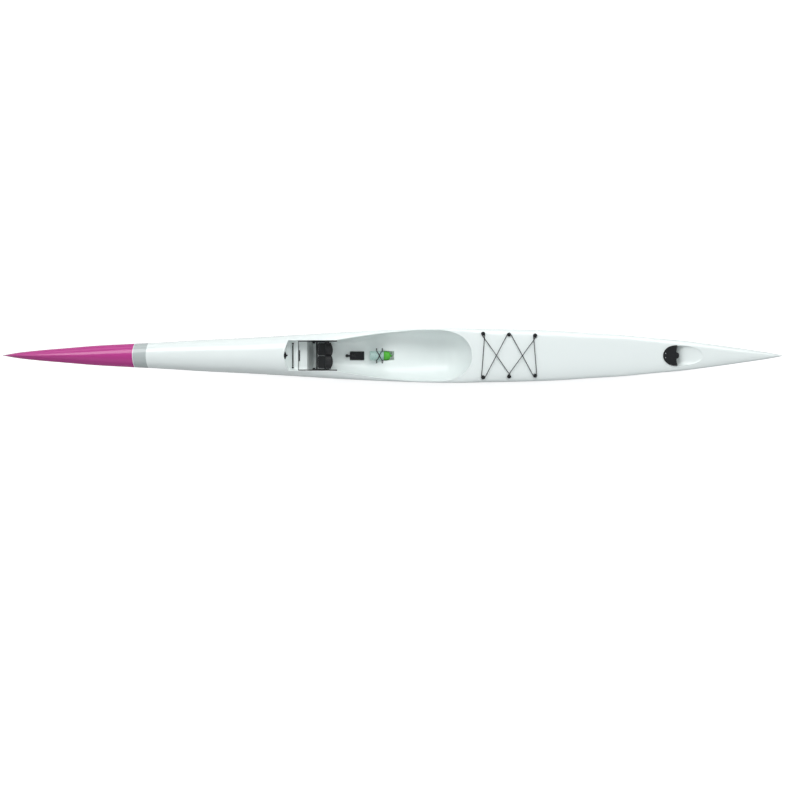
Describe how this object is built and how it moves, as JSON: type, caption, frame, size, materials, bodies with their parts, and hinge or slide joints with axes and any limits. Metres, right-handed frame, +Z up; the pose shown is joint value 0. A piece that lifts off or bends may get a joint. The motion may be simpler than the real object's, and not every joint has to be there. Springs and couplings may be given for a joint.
{
  "type": "surfski",
  "caption": "Long narrow surfski with an open cockpit, sliding footplate with steering pedals, self-bailer, drink bottle, deck elastic and a steered rudder.",
  "frame": {"origin": "on the keel flat amidships, on the centreline; the rudder reaches below it", "axes": "+X to the stern, +Y to starboard, +Z up"},
  "size_m": [6, 0.42, 0.5107],
  "materials": {
    "gelcoat": "white gelcoat with a painted magenta bow and a silver band",
    "foam": "closed-cell foam, inside the shells",
    "black_plastic": "black moulded nylon, lightly grained",
    "steel": "stainless steel",
    "rubber": "soft black rubber",
    "elastic": "braided sheath over shock cord",
    "webbing": "woven black webbing",
    "clear_teal": "translucent teal polyethylene",
    "green_cap": "bright green polypropylene",
    "tube_plastic": "pale nylon tube"
  },
  "bodies": {
    "hull": {"hull_shell": "gelcoat", "deck_shell": "gelcoat", "cockpit_shell": "gelcoat", "fore_stringer": "foam", "aft_stringer": "foam", "seat_support": "foam", "footrest_track_port": "black_plastic", "footrest_track_starboard": "black_plastic", "elastic_hook_port": "black_plastic", "elastic_hook_starboard": "black_plastic", "bailer_frame": "black_plastic", "leash_cleat": "black_plastic", "lower_bush": "black_plastic", "upper_bush": "black_plastic", "rudder_cover": "black_plastic", "cord_eye_1": "black_plastic", "cord_eye_2": "black_plastic", "cord_eye_3": "black_plastic", "cord_eye_4": "black_plastic", "bungee_knob_port_1": "black_plastic", "bungee_knob_port_2": "black_plastic", "bungee_knob_port_3": "black_plastic", "bungee_knob_starboard_1": "black_plastic", "bungee_knob_starboard_2": "black_plastic", "bungee_knob_starboard_3": "black_plastic", "track_screw_port_1": "steel", "track_screw_port_2": "steel", "track_screw_starboard_1": "steel", "track_screw_starboard_2": "steel", "bailer_pin": "steel", "cover_screw_1": "steel", "cover_screw_2": "steel", "lip_grip": "rubber", "bailer_gasket": "rubber", "front_elastic": "elastic", "bungee_cord": "elastic", "bottle_cord_1": "elastic", "bottle_cord_2": "elastic", "drink_bottle": "clear_teal", "bottle_cap": "green_cap", "rudder_tube": "tube_plastic", "rudder_line_port": "tube_plastic", "rudder_line_starboard": "tube_plastic"},
    "footplate_unit": {"footplate": "black_plastic", "pedal_axle": "steel", "foot_strap": "webbing"},
    "clamp_port": {"clamp_knob_port": "black_plastic"},
    "clamp_starboard": {"clamp_knob_starboard": "black_plastic"},
    "pedal_port_unit": {"pedal_port": "black_plastic"},
    "pedal_starboard_unit": {"pedal_starboard": "black_plastic"},
    "rudder_unit": {"rudder_blade": "black_plastic", "rudder_stock": "steel", "tiller_yoke": "steel", "yoke_nut": "steel"},
    "lever_unit": {"bailer_lever": "black_plastic"},
    "flap_unit": {"bailer_flap": "black_plastic"},
    "valve_unit": {"bottle_valve": "green_cap"}
  },
  "joints": [
    {"name": "footplate_slide", "type": "slide", "parent": "hull", "child": "footplate_unit", "axis": [1, 0, 0], "range_m": [-0.035, 0.08]},
    {"name": "clamp_port_turn", "type": "hinge", "parent": "footplate_unit", "child": "clamp_port", "pos_m": [-0.612, 0, 0.178], "axis": [0, 1, 0], "range_deg": [0, 180]},
    {"name": "clamp_starboard_turn", "type": "hinge", "parent": "footplate_unit", "child": "clamp_starboard", "pos_m": [-0.612, 0, 0.178], "axis": [0, 1, 0], "range_deg": [0, 180]},
    {"name": "rudder_turn", "type": "hinge", "parent": "hull", "child": "rudder_unit", "pos_m": [2.145, 0, 0.02903], "axis": [0, 0, 1], "range_deg": [-35, 35]},
    {"name": "pedal_port_tilt", "type": "hinge", "parent": "footplate_unit", "child": "pedal_port_unit", "pos_m": [-0.53, 0, 0.139], "axis": [0, 1, 0], "range_deg": [-18, 18]},
    {"name": "pedal_starboard_tilt", "type": "hinge", "parent": "footplate_unit", "child": "pedal_starboard_unit", "pos_m": [-0.53, 0, 0.139], "axis": [0, 1, 0], "range_deg": [-18, 18]},
    {"name": "bailer_lever_lift", "type": "hinge", "parent": "hull", "child": "lever_unit", "pos_m": [-0.2955, 0, 0.0487], "axis": [0, 1, 0], "range_deg": [0, 60]},
    {"name": "bailer_flap_drop", "type": "hinge", "parent": "hull", "child": "flap_unit", "pos_m": [-0.312, 0, 0.00404], "axis": [0, 1, 0], "range_deg": [0, 25]},
    {"name": "valve_pull", "type": "slide", "parent": "hull", "child": "valve_unit", "axis": [1, 0, 0], "range_m": [0, 0.004]}
  ],
  "couplings": [
    {"joint": "pedal_port_tilt", "follows": "rudder_turn", "ratio": 0.5},
    {"joint": "pedal_starboard_tilt", "follows": "rudder_turn", "ratio": -0.5},
    {"joint": "bailer_flap_drop", "follows": "bailer_lever_lift", "ratio": 0.4}
  ]
}
